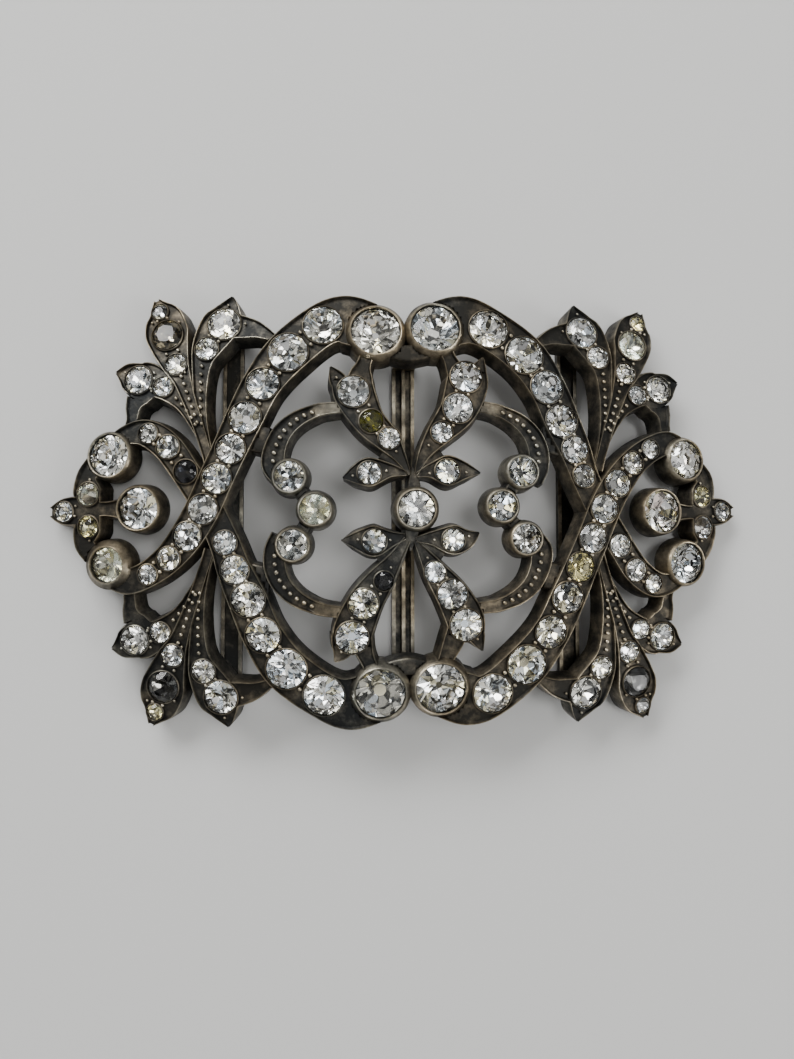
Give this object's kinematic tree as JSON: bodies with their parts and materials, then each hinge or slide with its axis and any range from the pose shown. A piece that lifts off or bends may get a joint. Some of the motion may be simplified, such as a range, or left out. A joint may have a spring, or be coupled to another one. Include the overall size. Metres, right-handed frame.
{
  "type": "rhinestone belt buckle",
  "caption": "Domed, pierced belt buckle in tarnished silver-coloured metal, set with cut paste stones in raised channels and round bezels, with back bars that a belt or ribbon threads round.",
  "frame": {"origin": "centre of the bounding box at its bottom, which is the plane of the back bars' undersides", "axes": "+X along the buckle to the right, +Y across it to the top, +Z out of its face"},
  "size_m": [0.0978, 0.0596, 0.0113],
  "materials": {
    "tarnished_silver": "cast silver-coloured metal, nearly black in the recesses and rubbed brown and olive gold along the rims",
    "bar_metal": "folded sheet metal, dark with tarnish and bright along its edges",
    "paste_clear": "cut lead glass over foil, clear to faintly grey or yellow",
    "paste_olive": "cut lead glass over perished foil, dark olive",
    "paste_dark": "cut lead glass over blackened foil"
  },
  "bodies": {
    "root": {"frame": "tarnished_silver", "left_bar": "bar_metal", "centre_bar": "bar_metal", "right_bar": "bar_metal", "centre_stone": "paste_clear", "left_big_upper_stone": "paste_clear", "left_big_lower_stone": "paste_clear", "left_outer_upper_stone": "paste_clear", "left_outer_lower_stone": "paste_clear", "left_inner_stone": "paste_clear", "left_scroll_upper_stone": "paste_clear", "left_scroll_middle_stone": "paste_clear", "left_scroll_lower_stone": "paste_clear", "right_big_upper_stone": "paste_clear", "right_big_lower_stone": "paste_clear", "right_outer_upper_stone": "paste_clear", "right_outer_lower_stone": "paste_clear", "right_inner_stone": "paste_clear", "right_scroll_upper_stone": "paste_clear", "right_scroll_middle_stone": "paste_clear", "right_scroll_lower_stone": "paste_clear", "upper_left_leaf_outer_stone": "paste_clear", "upper_left_leaf_middle_stone": "paste_olive", "upper_left_leaf_inner_stone": "paste_clear", "upper_right_leaf_outer_stone": "paste_clear", "upper_right_leaf_middle_stone": "paste_clear", "upper_right_leaf_inner_stone": "paste_clear", "lower_left_leaf_outer_stone": "paste_clear", "lower_left_leaf_middle_stone": "paste_clear", "lower_left_leaf_inner_stone": "paste_dark", "lower_right_leaf_outer_stone": "paste_clear", "lower_right_leaf_middle_stone": "paste_clear", "lower_right_leaf_inner_stone": "paste_clear", "upper_left_small_leaf_stone": "paste_clear", "upper_right_small_leaf_stone": "paste_clear", "lower_left_small_leaf_stone": "paste_clear", "lower_right_small_leaf_stone": "paste_clear", "left_over_band_stones": "paste_clear", "left_under_band_stones": "paste_clear", "right_over_band_stones": "paste_clear", "right_under_band_stones": "paste_clear", "left_trefoil_stones": "paste_clear", "right_trefoil_stones": "paste_clear", "upper_left_spray_stones": "paste_clear", "upper_right_spray_stones": "paste_clear", "lower_left_spray_stones": "paste_clear", "lower_right_spray_stones": "paste_clear"}
  },
  "joints": []
}
